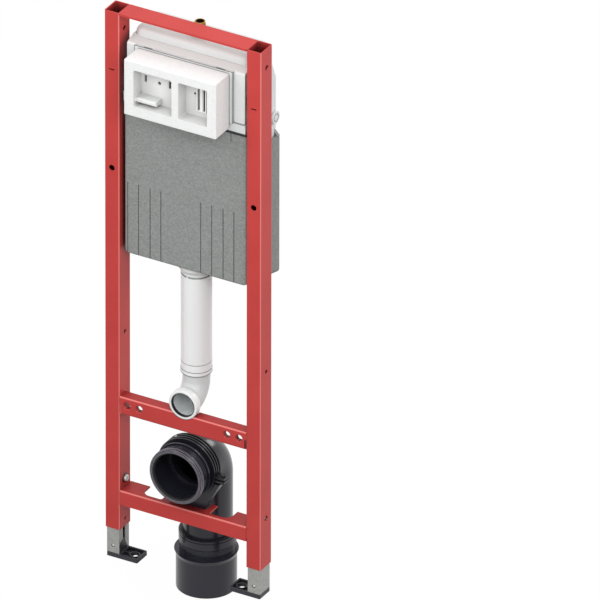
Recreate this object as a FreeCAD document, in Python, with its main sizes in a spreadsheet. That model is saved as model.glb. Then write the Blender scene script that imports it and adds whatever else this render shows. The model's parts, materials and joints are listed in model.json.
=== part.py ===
import FreeCAD, Part
import os

import Sketcher

from FreeCAD import Vector

# Wall hung toilet frame: two box posts on telescopic feet, a narrow cistern with its service
# housing between them, the flush pipe and bend, and the drain bend with its reducer.
#
# The pieces are drawn about the frame's middle plane (x = 0) and the front of the posts (y = 0),
# with y towards the wall and z up from the floor. Each is then moved so that the origin lies under
# the left leg, on the underside of its foot plate. All sizes are in millimetres.

SIZES = {
    # Posts and top beam
    "frame_height": 1117,
    "frame_width": 320,
    "post_bottom": 60,
    "post_width": 30,
    "post_depth": 40,
    "post_wall": 2,
    "post_corner": 3,
    "beam_thickness": 4,
    "wall_hole_height": 800,
    "wall_hole_diameter": 11.5,
    "top_link_height": 1079,
    "top_link_diameter": 10,
    "middle_link_height": 460,
    "middle_link_diameter": 8,
    "clamp_window_height": 159,
    "clamp_window_diameter": 19,
    "clamp_screw_diameter": 10,
    "drip_hole_height": 75,
    "drip_hole_diameter": 7,
    "metre_mark_height": 1000,
    "metre_mark_length": 11,
    "metre_mark_width": 2.5,
    # Rails
    "rail_wall": 3,
    "rail_corner": 4,
    "upper_rail_height": 36,
    "upper_rail_depth": 22.5,
    "upper_rail_foot_depth": 27,
    "bowl_bolt_height": 320,
    "bowl_bolt_edge": 20,
    "bowl_bolt_pitch": 180,
    "outer_bolt_inset": 15,
    "bowl_bolt_diameter": 13,
    "bolt_sink": 1.75,
    "bolt_collar_wall": 2,
    "bolt_collar_reach": 7,
    "rail_relief_width": 3.5,
    "flush_cutout_radius": 29,
    "lower_rail_bottom": 112.5,
    "lower_rail_height": 29.5,
    "notch_edge_inset": 40,
    "notch_strip_depth": 9.5,
    "notch_corner": 15,
    "middle_strip_depth": 20,
    "finger_inner_offset": 38,
    "finger_outer_offset": 49,
    "finger_corner": 4,
    # Telescopic feet
    "leg_clearance": 0.5,
    "leg_wall": 2,
    "leg_slot": 8,
    "leg_top": 300,
    "button_hole_height": 23,
    "button_hole_diameter": 7,
    "foot_thickness": 8,
    "foot_side_margin": 2,
    "foot_length": 63,
    "foot_front_margin": 1.5,
    "foot_rim": 3,
    "foot_floor": 2.5,
    "foot_corner": 2.5,
    "foot_recess_gap": 2,
    "tongue_shoulder": 29,
    "tongue_tip": 36.5,
    "tongue_rear": 13.5,
    "plug_height": 26,
    "plug_clearance": 0.3,
    "boss_outer_diameter": 20,
    "boss_inner_diameter": 16,
    "boss_height": 6,
    "rib_thickness": 2,
    "floor_slot_width": 9,
    "floor_slot_length": 14,
    "floor_slot_inset": 15,
    # Cistern
    "fit_gap": 0.3,
    "tank_left_gap": 12,
    "tank_right_gap": 7.6,
    "tank_wall": 4,
    "tank_front": 8,
    "tank_back": 122,
    "tank_bottom_front": 636,
    "tank_bottom_back": 608,
    "tank_step_top": 900,
    "tank_rim": 1067,
    "tank_shoulder": 1060,
    "tank_shoulder_back": 1065,
    "tank_edge": 5,
    "tank_corner": 5,
    "tank_bulge": 12,
    "tank_chamfer_height": 1003,
    "tank_chamfer_top": 1036,
    "tank_chamfer_depth": 14,
    "lip_bottom": 938,
    "lip_top": 957,
    "lip_front": 6.5,
    "lip_side_inset": 1,
    "shelf_height": 1003,
    "shelf_front": 22,
    "shelf_back": 34,
    "shelf_wall": 3,
    "shelf_drop": 18,
    "lug_gap": 4,
    "lug_height": 10,
    "plug_cap_height": 923.6,
    "plug_cap_back": 112,
    "plug_cap_radius": 12,
    "plug_cap_thickness": 4.5,
    "plug_ring_radius": 8,
    "plug_ring_width": 1.6,
    "plug_ring_depth": 1.2,
    "neck_bottom": 588,
    "neck_gap_height": 3.2,
    "collar_radius": 27.8,
    "collar_height": 5,
    "neck_cone_height": 7,
    "neck_cone_radius": 33,
    "neck_top": 640,
    "neck_wall": 3,
    "jacket_side_gap": 5,
    "jacket_front": 9.5,
    "jacket_back": 127,
    "jacket_wall": 6.7,
    "jacket_bottom_front": 629,
    "jacket_bottom_back": 600,
    "jacket_front_top": 934.5,
    "jacket_side_top": 880,
    "jacket_back_top": 892,
    "jacket_edge": 5,
    "jacket_back_chamfer": 10,
    "jacket_bottom_corner": 9,
    "score_width": 1.8,
    "score_depth": 1.6,
    "score_top": 774,
    "first_score_offset": 50,
    "second_score_offset": 72,
    "third_score_offset": 96,
    "fourth_score_offset": 118,
    "fifth_score_offset": 31.5,
    "sixth_score_offset": 54,
    "seventh_score_offset": 77.4,
    "eighth_score_offset": 99.4,
    "slit_offset": 93.4,
    "slit_bottom": 917,
    "lid_side_inset": 1.5,
    "lid_front": 28,
    "lid_back": 106,
    "lid_top": 1083,
    "lid_corner": 15,
    "lid_edge": 13,
    # Service housing
    "housing_half_width": 93.8,
    "housing_front": -45.5,
    "housing_back": 2.8,
    "housing_bottom": 946,
    "housing_top": 1057.5,
    "housing_edge": 2,
    "seam_width": 1.6,
    "seam_depth": 3,
    "window_bottom": 967,
    "window_top": 1040,
    "window_depth": 27,
    "left_window_left_edge": -74.2,
    "left_window_right_edge": 3.3,
    "right_window_left_edge": 17,
    "right_window_right_edge": 75.7,
    "window_corner": 3,
    "ledge_left_edge": -74.2,
    "ledge_right_edge": -32,
    "ledge_reach": 20,
    "ledge_bottom": 973,
    "ledge_thickness": 9,
    "ledge_edge": 2.5,
    "latch_slot_width": 4.6,
    "latch_slot_height": 14,
    "latch_slot_depth": 14,
    "latch_height": 1013,
    "left_latch_offset": 64.5,
    "right_latch_offset": 15,
    "pin_hole_height": 1011,
    "left_pin_offset": 36.5,
    "left_pin_diameter": 6.5,
    "right_pin_offset": 36.2,
    "right_pin_diameter": 4.5,
    "service_frame_margin": 5.5,
    "clip_offset": 74.5,
    "clip_width": 21,
    "clip_height": 3,
    "guide_bottom": 977.5,
    "guide_top": 1027,
    "guide_reach": 2,
    "guide_seat_depth": 14,
    "guide_plate_thickness": 3,
    "guide_left_edge": 39.6,
    "guide_slot_offset": 4.1,
    "guide_slot_width": 3,
    "guide_slot_pitch": 11.1,
    "guide_right_edge": 60.2,
    # Water inlet
    "inlet_back": 62,
    "inlet_diameter": 20.2,
    "inlet_bore": 14.5,
    "inlet_chamfer": 1,
    "inlet_shank_inset": 0.3,
    "inlet_top": 1109,
    "nut_height": 9,
    "nut_diameter": 30,
    "thread_gap": 0.1,
    "washer_height": 2,
    # Flush pipe
    "flush_pipe_back": 49.3,
    "sleeve_radius": 28,
    "sleeve_wall": 2.6,
    "sleeve_rise": 72,
    "sleeve_top": 604,
    "key_width": 3,
    "key_inset": 0.6,
    "key_offset": 3,
    "key_thickness": 1.8,
    "key_height": 2.8,
    "bend_radius": 25,
    "bend_wall": 2,
    "bend_curve": 35,
    "bend_engagement": 23,
    "flush_rise": 35,
    "flush_mouth_front": 0.5,
    "flush_mouth_radius": 28,
    "flush_mouth_depth": 14,
    "flush_seat_radius": 25.5,
    "flush_seal_opening": 22.5,
    "flush_seal_depth": 6,
    "bayonet_radius": 28,
    "bayonet_thickness": 3,
    "bayonet_gap": 4,
    "bayonet_drop": 8,
    "bayonet_side_half_width": 8.7,
    # Drain
    "drain_height": 220,
    "drain_back": 90,
    "drain_radius": 45,
    "drain_wall": 3,
    "drain_curve": 46,
    "drain_front": 36,
    "drain_bottom": 14,
    "socket_front": -26,
    "socket_bevel": 2,
    "socket_rim_radius": 54,
    "socket_rim_depth": 9,
    "socket_neck_radius": 50.5,
    "socket_inner_radius": 46.5,
    "socket_end": 43,
    "socket_stop": 3,
    "socket_rib_radius": 52.2,
    "socket_rib_width": 1.8,
    "socket_rib_pitch": 4.5,
    "socket_flange_radius": 55,
    "socket_flange_front": 0,
    "socket_flange_depth": 3,
    "seal_seat_radius": 50,
    "seal_opening_radius": 45.1,
    "seal_depth": 8,
    "seal_lip": 5,
    "strap_front": 13,
    "strap_depth": 23,
    "strap_radius": 58.5,
    "strap_core_radius": 55.5,
    "strap_ridge": 2.6,
    "ear_root": 3,
    "ear_drop": 9,
    "ear_end_offset": 76,
    "ear_inset": 3,
    "ear_thickness": 4.5,
    "ear_gap": 3,
    "saddle_front": 17.5,
    "saddle_depth": 18.5,
    "saddle_foot_half_width": 36,
    "saddle_foot_height": 5,
    "saddle_top_half_width": 66,
    "saddle_height": 58,
    "reducer_top": 57,
    "reducer_collar_radius": 52.5,
    "reducer_collar_bottom": 39,
    "reducer_bead_height": 3.5,
    "reducer_groove_width": 1.6,
    "reducer_groove_depth": 1.2,
    "reducer_neck_radius": 50,
    "reducer_rib_radius": 51.2,
    "reducer_rib_width": 1.6,
    "reducer_rib_pitch": 4.2,
    "reducer_flare_radius": 58,
    "reducer_flare_top": 20,
    "reducer_flare_height": 8,
    "reducer_seal_height": 8,
    "reducer_seal_radius": 49,
    "reducer_step": 4,
    "spigot_radius": 55,
    "spigot_back": 85.2,
    "spigot_bottom": -55,
    "spigot_wall": 3.2,
}


class Size:
    """A length that knows its value and the expression that gives it."""

    def __init__(self, value, text):
        self.value = value
        self.text = text

    def _with(self, other, sign, value):
        return Size(value, "(%s %s %s)" % (self.text, sign, as_size(other).text))

    def __add__(self, other):
        return self._with(other, "+", self.value + as_size(other).value)

    def __sub__(self, other):
        return self._with(other, "-", self.value - as_size(other).value)

    def __mul__(self, other):
        return self._with(other, "*", self.value * as_size(other).value)

    def __truediv__(self, other):
        return self._with(other, "/", self.value / as_size(other).value)

    def __radd__(self, other):
        return as_size(other) + self

    def __rsub__(self, other):
        return as_size(other) - self

    def __rmul__(self, other):
        return as_size(other) * self

    def __neg__(self):
        return Size(-self.value, "(-%s)" % self.text)


def as_size(number):
    return number if isinstance(number, Size) else Size(number, repr(number))


class Sheet:
    """The driving dimensions, one named cell each."""

    def __init__(self, doc, sizes):
        cells = doc.addObject("Spreadsheet::Sheet", "sizes")
        for row, (name, value) in enumerate(sizes.items(), start=1):
            cells.set("A%d" % row, name)
            cells.set("B%d" % row, repr(value))
            cells.setAlias("B%d" % row, name)
            setattr(self, name, Size(value, "sizes." + name))


doc = FreeCAD.newDocument("wall_hung_toilet_frame")
S = Sheet(doc, SIZES)
doc.recompute()

# Values worked out from the sheet
POST_MIDDLE = (S.frame_width - S.post_width) / 2
POST_INSIDE = S.frame_width / 2 - S.post_width
POST_LENGTH = S.frame_height - S.post_bottom
RAIL_LENGTH = POST_INSIDE * 2
MID_DEPTH = S.post_depth / 2
LEG_HALF = S.post_width / 2 - S.post_wall - S.leg_clearance
LEG_FRONT = S.post_wall + S.leg_clearance
LEG_BACK = S.post_depth - LEG_FRONT
FOOT_OUTER = S.frame_width / 2 - S.foot_side_margin
FOOT_INNER = FOOT_OUTER - S.foot_length
FLOOR_SLOT = FOOT_INNER + S.floor_slot_inset
LOWER_RAIL_TOP = S.lower_rail_bottom + S.lower_rail_height
UPPER_RAIL_BOTTOM = S.bowl_bolt_height - S.bowl_bolt_edge
UPPER_RAIL_TOP = UPPER_RAIL_BOTTOM + S.upper_rail_height
OUTER_BOLT_PITCH = RAIL_LENGTH - S.outer_bolt_inset * 2
NOTCH_OUTER = POST_INSIDE - S.notch_edge_inset
JACKET_HALF = POST_INSIDE - S.jacket_side_gap
JACKET_INSIDE_FRONT = S.jacket_front + S.jacket_wall
JACKET_INSIDE_BACK = S.jacket_back - S.jacket_wall
TANK_LEFT = POST_INSIDE - S.tank_left_gap
TANK_RIGHT = POST_INSIDE - S.tank_right_gap
TANK_LOWER_HALF = JACKET_HALF - S.jacket_wall - S.fit_gap
NECK_RADIUS = S.sleeve_radius - S.sleeve_wall - S.fit_gap
COLLAR_BOTTOM = S.sleeve_top + S.neck_gap_height
CONE_BOTTOM = COLLAR_BOTTOM + S.collar_height
FLUSH_HEIGHT = S.bowl_bolt_height + S.flush_rise
SLEEVE_BOTTOM = FLUSH_HEIGHT + S.sleeve_rise
BEND_TOP = SLEEVE_BOTTOM + S.bend_engagement
BAYONET_TOP = SLEEVE_BOTTOM - S.bayonet_drop
PIPE_FIT_RADIUS = S.drain_radius + S.fit_gap

# Ribs of the socket, ridges of the strap, ribs of the reducer, and a hexagon's flat by its corner
# radius
SOCKET_RIBS = 3
STRAP_RIDGES = 4
REDUCER_RIBS = 3
HEX_FLAT = 3 ** 0.5 / 2

nodes = []


def bind(item, name, size):
    """Ties a property of an object to the sheet."""
    item.setExpression(name, as_size(size).text)


def keep(item, label):
    """Names a finished sub-part and moves it to the origin under the left leg."""
    item.Label = label
    bind(item, "Placement.Base.x", POST_MIDDLE)
    bind(item, "Placement.Base.y", -MID_DEPTH)
    nodes.append(item)


class Piece:
    """A body that is built up from sketches."""

    def __init__(self, label):
        self.body = doc.addObject("PartDesign::Body", label)
        self.label = label
        self.count = 0
        keep(self.body, label)

    def name(self, kind):
        self.count += 1
        return "%s_%s_%d" % (self.label, kind, self.count)

    def sketch(self, role, at=(0, 0, 0)):
        """An empty sketch on one of the body's planes; at is the sketch's own x, y and normal."""
        sketch = self.body.newObject("Sketcher::SketchObject", self.name("sketch"))
        plane = next(item for item in self.body.Origin.OriginFeatures if item.Role == role)
        sketch.AttachmentSupport = (plane, [""])
        sketch.MapMode = "FlatFace"
        for axis, size in zip("xyz", at):
            bind(sketch, "AttachmentOffset.Base." + axis, size)
        return sketch

    def feature(self, kind, sketch):
        feature = self.body.newObject("PartDesign::" + kind, self.name(kind.lower()))
        feature.Profile = sketch
        sketch.Visibility = False
        return feature

    def pad(self, sketch, length, back=False):
        pad = self.feature("Pad", sketch)
        pad.Reversed = back
        bind(pad, "Length", length)
        return self.done(pad)

    def pocket(self, sketch, length=None, forward=False):
        """A cut against the sketch's normal, or along it; through everything with no length."""
        pocket = self.feature("Pocket", sketch)
        pocket.Reversed = forward
        if length is None:
            pocket.Type = "ThroughAll"
        else:
            bind(pocket, "Length", length)
        return self.done(pocket)

    def slice_through(self, sketch):
        """A cut that goes right through, to both sides of the sketch."""
        pocket = self.feature("Pocket", sketch)
        pocket.Type = "ThroughAll"
        pocket.Midplane = True
        return self.done(pocket)

    def turn(self, sketch, axis="V_Axis", angle=360, back=False, cut=False):
        turn = self.feature("Groove" if cut else "Revolution", sketch)
        turn.ReferenceAxis = (sketch, [axis])
        turn.Angle = angle
        turn.Reversed = back
        return self.done(turn)

    def done(self, feature):
        doc.recompute()
        return feature

    def round(self, kind, size, chosen):
        """Fillet or Chamfer on the edges that chosen picks from the solid so far."""
        base = self.body.Tip
        names = ["Edge%d" % (i + 1) for i, edge in enumerate(base.Shape.Edges) if chosen(edge)]
        if not names:
            raise ValueError("no edge to round on " + self.label)
        dress = self.body.newObject("PartDesign::" + kind, self.name(kind.lower()))
        dress.Base = (base, names)
        bind(dress, "Radius" if kind == "Fillet" else "Size", size)
        return self.done(dress)

    def fillet(self, size, chosen):
        return self.round("Fillet", size, chosen)

    def chamfer(self, size, chosen):
        return self.round("Chamfer", size, chosen)


def pinned(sketch, first, point, where):
    """Holds a vertex of a sketch at its two sizes."""
    for kind, size in zip(("DistanceX", "DistanceY"), where):
        held = as_size(size)
        index = sketch.addConstraint(Sketcher.Constraint(kind, -1, 1, first, point, held.value))
        sketch.setExpression("Constraints[%d]" % index, held.text)


def outline(sketch, points):
    """A closed run of straight lines through the points."""
    places = [Vector(as_size(x).value, as_size(y).value, 0) for x, y in points]
    lines = [Part.LineSegment(a, b) for a, b in zip(places, places[1:] + places[:1])]
    first = sketch.GeometryCount
    sketch.addGeometry(lines, False)
    for i, point in enumerate(points):
        following = (i + 1) % len(points)
        sketch.addConstraint(Sketcher.Constraint("Coincident", first + i, 2, first + following, 1))
        pinned(sketch, first + i, 1, point)
    return sketch


def rectangle(sketch, left, right, low, high):
    return outline(sketch, [(left, low), (right, low), (right, high), (left, high)])


def circle(sketch, x, y, radius):
    where = Vector(as_size(x).value, as_size(y).value, 0)
    held = as_size(radius)
    first = sketch.addGeometry(Part.Circle(where, Vector(0, 0, 1), held.value), False)
    pinned(sketch, first, 3, (x, y))
    index = sketch.addConstraint(Sketcher.Constraint("Radius", first, held.value))
    sketch.setExpression("Constraints[%d]" % index, held.text)
    return sketch


def obround(sketch, x, low, high, radius):
    """A slot along the sketch's y, from low to high over its round ends."""
    place = as_size(x).value
    r = as_size(radius).value
    first = sketch.GeometryCount
    bottom = Vector(place, as_size(low).value + r, 0)
    top = Vector(place, as_size(high).value - r, 0)
    side = Vector(r, 0, 0)
    up = Vector(0, r, 0)
    sketch.addGeometry(Part.Arc(bottom - side, bottom - up, bottom + side), False)
    sketch.addGeometry(Part.LineSegment(bottom + side, top + side), False)
    sketch.addGeometry(Part.Arc(top + side, top + up, top - side), False)
    sketch.addGeometry(Part.LineSegment(top - side, bottom - side), False)
    pinned(sketch, first + 1, 1, (x + radius, low + radius))
    pinned(sketch, first + 1, 2, (x + radius, high - radius))
    pinned(sketch, first + 3, 1, (x - radius, high - radius))
    pinned(sketch, first + 3, 2, (x - radius, low + radius))
    for geometry, end, line, start in ((0, 1, 3, 2), (0, 2, 1, 1), (2, 1, 1, 2), (2, 2, 3, 1)):
        sketch.addConstraint(Sketcher.Constraint("Coincident", first + geometry, end, first + line, start))
    for geometry, height in ((0, low + radius), (2, high - radius)):
        held = as_size(height)
        index = sketch.addConstraint(
            Sketcher.Constraint("DistanceY", -1, 1, first + geometry, 3, held.value))
        sketch.setExpression("Constraints[%d]" % index, held.text)
    return sketch


# Edge pickers
NEAR = 0.02


def straight(edge, axis):
    """True for a straight edge along the given axis (0, 1 or 2)."""
    reach = edge.Vertexes[0].Point[axis] - edge.Vertexes[-1].Point[axis]
    return edge.Length > NEAR and abs(edge.Length - abs(reach)) < NEAR


def at(edge, **places):
    """True where the middle of the edge lies at the given x, y or z."""
    middle = edge.BoundBox.Center
    return all(
        abs(getattr(middle, axis) - as_size(place).value) < NEAR for axis, place in places.items())


def post(side, label):
    """A box post with rounded corners, its wall-fixing hole and the holes in its side walls."""
    piece = Piece(label)
    middle = POST_MIDDLE * side
    half = S.post_width / 2
    section = piece.sketch("XY_Plane", (0, 0, S.post_bottom))
    rectangle(section, middle - half, middle + half, 0, S.post_depth)
    rectangle(
        section,
        middle - half + S.post_wall,
        middle + half - S.post_wall,
        S.post_wall,
        S.post_depth - S.post_wall,
    )
    piece.pad(section, POST_LENGTH)
    outer = [0, S.post_depth.value]
    piece.fillet(S.post_corner, lambda e: straight(e, 2) and any(at(e, y=y) for y in outer))
    piece.fillet(
        S.post_corner - S.post_wall,
        lambda e: straight(e, 2)
        and any(at(e, y=y) for y in (S.post_wall, S.post_depth - S.post_wall)),
    )
    front = piece.sketch("XZ_Plane")
    circle(front, middle, S.wall_hole_height, S.wall_hole_diameter / 2)
    piece.slice_through(front)
    mark = piece.sketch("XZ_Plane")
    rectangle(
        mark,
        middle - S.metre_mark_length / 2,
        middle + S.metre_mark_length / 2,
        S.metre_mark_height - S.metre_mark_width / 2,
        S.metre_mark_height + S.metre_mark_width / 2,
    )
    piece.pocket(mark, S.post_wall)
    sides = piece.sketch("YZ_Plane")
    circle(sides, MID_DEPTH, S.top_link_height, S.top_link_diameter / 2)
    circle(sides, MID_DEPTH, S.middle_link_height, S.middle_link_diameter / 2)
    piece.slice_through(sides)
    inner = piece.sketch("YZ_Plane", (0, 0, middle))
    circle(inner, MID_DEPTH, S.clamp_window_height, S.clamp_window_diameter / 2)
    circle(inner, MID_DEPTH, S.drip_hole_height, S.drip_hole_diameter / 2)
    piece.pocket(inner, half, forward=side < 0)
    outside = piece.sketch("YZ_Plane", (0, 0, middle))
    circle(outside, MID_DEPTH, S.clamp_window_height, S.clamp_screw_diameter / 2)
    piece.pocket(outside, half, forward=side > 0)


def top_beam():
    """The flat bar that joins the posts, level with their open tops."""
    piece = Piece("top_beam")
    face = piece.sketch("XY_Plane", (0, 0, S.frame_height - S.beam_thickness))
    rectangle(face, -POST_INSIDE, POST_INSIDE, 0, S.post_depth)
    piece.pad(face, S.beam_thickness)


def upper_rail():
    """The bent channel for the bowl's rods, with a collar behind each hole, and for the flush bend."""
    piece = Piece("upper_rail")
    low = UPPER_RAIL_BOTTOM
    high = UPPER_RAIL_TOP
    wall = S.rail_wall
    deep = S.upper_rail_depth
    foot = S.upper_rail_foot_depth
    section = piece.sketch("YZ_Plane", (0, 0, -POST_INSIDE))
    outline(section, [
        (0, low), (foot, low), (foot, low + wall), (wall, low + wall),
        (wall, high - wall), (deep, high - wall), (deep, high), (0, high),
    ])
    piece.pad(section, RAIL_LENGTH)
    bends = [(0, low, S.rail_corner), (0, high, S.rail_corner),
             (wall, low + wall, S.rail_corner - wall), (wall, high - wall, S.rail_corner - wall)]
    for y, z, radius in bends:
        piece.fillet(radius, lambda e: straight(e, 0) and at(e, y=y, z=z))
    bolt = S.bowl_bolt_diameter / 2
    places = [pitch * side / 2 for pitch in (S.bowl_bolt_pitch, OUTER_BOLT_PITCH) for side in (-1, 1)]
    collars = piece.sketch("XZ_Plane", (0, 0, -wall - S.bolt_collar_reach))
    for place in places:
        circle(collars, place, S.bowl_bolt_height, bolt + S.bolt_collar_wall)
    piece.pad(collars, S.bolt_collar_reach)
    holes = piece.sketch("XZ_Plane")
    for place in places:
        circle(holes, place, S.bowl_bolt_height, bolt)
    circle(holes, 0, FLUSH_HEIGHT, S.flush_cutout_radius)
    piece.slice_through(holes)
    piece.chamfer(S.bolt_sink, lambda e: at(e, y=0, z=S.bowl_bolt_height))
    reliefs = piece.sketch("XZ_Plane")
    near = POST_INSIDE - S.rail_relief_width
    for side in (-1, 1):
        rectangle(reliefs, near * side, (POST_INSIDE + wall) * side, low - wall, S.bowl_bolt_height)
    piece.pocket(reliefs, wall)


def lower_rail():
    """The bent angle whose fingers carry the drain clamp."""
    piece = Piece("lower_rail")
    low = S.lower_rail_bottom
    high = LOWER_RAIL_TOP
    wall = S.rail_wall
    section = piece.sketch("YZ_Plane", (0, 0, -POST_INSIDE))
    outline(section, [
        (0, low), (wall, low), (wall, high - wall),
        (S.post_depth, high - wall), (S.post_depth, high), (0, high),
    ])
    piece.pad(section, RAIL_LENGTH)
    piece.fillet(S.rail_corner, lambda e: straight(e, 0) and at(e, y=0, z=high))
    piece.fillet(S.rail_corner - wall, lambda e: straight(e, 0) and at(e, y=wall, z=high - wall))
    notches = piece.sketch("XY_Plane", (0, 0, high))
    beyond = S.post_depth + wall
    strip = S.notch_strip_depth
    rectangle(notches, -S.finger_inner_offset, S.finger_inner_offset, S.middle_strip_depth, beyond)
    rectangle(notches, S.finger_outer_offset, NOTCH_OUTER, strip, beyond)
    rectangle(notches, -NOTCH_OUTER, -S.finger_outer_offset, strip, beyond)
    piece.pocket(notches, wall)
    piece.fillet(S.notch_corner, lambda e: straight(e, 2) and any(
        at(e, x=side * NOTCH_OUTER, y=strip) for side in (-1, 1)))
    piece.fillet(S.finger_corner, lambda e: straight(e, 2) and any(
        at(e, x=side * S.finger_outer_offset, y=strip) for side in (-1, 1)))


def tongue_outline(inset):
    """The fin of a foot's tongue: upright in front, and sloping down from its tip to the rear."""
    front = LEG_FRONT + S.leg_wall + inset
    return [
        (front, S.foot_thickness), (MID_DEPTH + S.tongue_rear - inset, S.foot_thickness),
        (MID_DEPTH, S.tongue_tip - inset), (front, S.tongue_shoulder - inset),
    ]


def leg(side, label):
    """The galvanised channel that slides in a post, open towards the middle."""
    piece = Piece(label)
    middle = POST_MIDDLE * side
    mouth = middle - side * LEG_HALF
    lip = mouth + side * S.leg_wall
    back = middle + side * LEG_HALF
    web = back - side * S.leg_wall
    half_slot = S.leg_slot / 2
    section = piece.sketch("XY_Plane", (0, 0, S.foot_thickness))
    outline(section, [
        (back, LEG_FRONT), (back, LEG_BACK), (mouth, LEG_BACK), (mouth, MID_DEPTH + half_slot),
        (lip, MID_DEPTH + half_slot), (lip, LEG_BACK - S.leg_wall), (web, LEG_BACK - S.leg_wall),
        (web, LEG_FRONT + S.leg_wall), (lip, LEG_FRONT + S.leg_wall), (lip, MID_DEPTH - half_slot),
        (mouth, MID_DEPTH - half_slot), (mouth, LEG_FRONT),
    ])
    piece.pad(section, S.leg_top - S.foot_thickness)
    opening = piece.sketch("YZ_Plane", (0, 0, mouth))
    outline(opening, tongue_outline(0))
    piece.pocket(opening, S.leg_wall + S.plug_clearance * 2, forward=side > 0)
    hole = piece.sketch("XZ_Plane", (0, 0, -LEG_FRONT))
    circle(hole, middle, S.button_hole_height, S.button_hole_diameter / 2)
    piece.pocket(hole, S.leg_wall)


def foot_plate(side, label):
    """The moulded foot: a ribbed plate that points inward, a plug and a pointed tongue."""
    piece = Piece(label)
    middle = POST_MIDDLE * side
    front = S.foot_front_margin
    rear = S.post_depth - S.foot_front_margin
    plate = piece.sketch("XY_Plane")
    outline(plate, [
        (FOOT_OUTER * side, front), (FOOT_INNER * side, front),
        (FOOT_INNER * side, rear), (FOOT_OUTER * side, rear),
    ])
    piece.pad(plate, S.foot_thickness)
    piece.fillet(S.foot_corner, lambda e: straight(e, 2))
    mouth = middle - side * LEG_HALF
    recess_start = mouth - side * S.foot_recess_gap
    recess_end = (FOOT_INNER + S.foot_rim) * side
    recess = piece.sketch("XY_Plane", (0, 0, S.foot_thickness))
    outline(recess, [
        (recess_start, front + S.foot_rim), (recess_end, front + S.foot_rim),
        (recess_end, rear - S.foot_rim), (recess_start, rear - S.foot_rim),
    ])
    piece.pocket(recess, S.foot_thickness - S.foot_floor)
    centre = FLOOR_SLOT * side
    boss = piece.sketch("XY_Plane", (0, 0, S.foot_floor))
    circle(boss, centre, MID_DEPTH, S.boss_outer_diameter / 2)
    piece.pad(boss, S.boss_height - S.foot_floor)
    ribs = piece.sketch("XY_Plane", (0, 0, S.foot_floor))
    half_rib = S.rib_thickness / 2
    rectangle(ribs, recess_start, recess_end, MID_DEPTH - half_rib, MID_DEPTH + half_rib)
    piece.pad(ribs, S.boss_height - S.foot_floor)
    sunk = piece.sketch("XY_Plane", (0, 0, S.foot_thickness))
    circle(sunk, centre, MID_DEPTH, S.boss_inner_diameter / 2)
    piece.pocket(sunk, S.foot_thickness - S.foot_floor)
    slot = piece.sketch("XY_Plane", (0, 0, S.foot_thickness))
    half_slot = S.floor_slot_length / 2
    obround(slot, centre, MID_DEPTH - half_slot, MID_DEPTH + half_slot, S.floor_slot_width / 2)
    piece.pocket(slot)
    inset = S.leg_wall + S.plug_clearance
    plug = piece.sketch("XY_Plane", (0, 0, S.foot_thickness))
    outline(plug, [
        (mouth + side * inset, LEG_FRONT + inset), (middle + side * (LEG_HALF - inset), LEG_FRONT + inset),
        (middle + side * (LEG_HALF - inset), LEG_BACK - inset), (mouth + side * inset, LEG_BACK - inset),
    ])
    piece.pad(plug, S.plug_height)
    tongue = piece.sketch("YZ_Plane", (0, 0, mouth))
    outline(tongue, tongue_outline(S.plug_clearance))
    piece.pad(tongue, inset, back=side < 0)


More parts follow.
